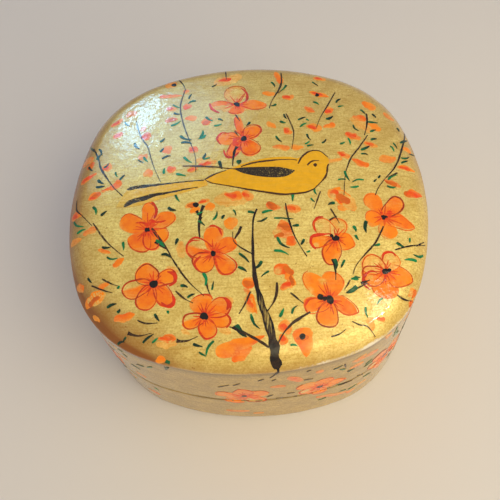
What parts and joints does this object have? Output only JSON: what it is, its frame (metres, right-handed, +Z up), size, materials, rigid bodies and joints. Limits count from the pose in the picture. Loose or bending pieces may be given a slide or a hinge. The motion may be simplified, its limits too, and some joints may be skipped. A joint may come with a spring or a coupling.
{
  "type": "papier mache box",
  "caption": "Rounded-square lidded box of pasted paper: a base with an inner collar and a deep lift-off lid with a low pillow crown, gold lacquered outside and black within.",
  "frame": {"origin": "middle of the box's underside, at the height of the surface it stands on", "axes": "+Z up through the lid's crown, -Y towards the side that faces the camera in the picture, +X to the right of that view"},
  "size_m": [0.075, 0.0734, 0.0412],
  "materials": {
    "gold_lacquer": "gloss",
    "black_lacquer": "satin"
  },
  "bodies": {
    "base": {"base_floor": "gold_lacquer", "base_wall": "gold_lacquer", "inner_collar": "black_lacquer"},
    "lid": {"lid_band": "gold_lacquer", "lid_crown": "gold_lacquer"}
  },
  "joints": [
    {"name": "lid_lift", "type": "slide", "parent": "base", "child": "lid", "axis": [0, 0, 1], "range_m": [0, 0.05]}
  ]
}
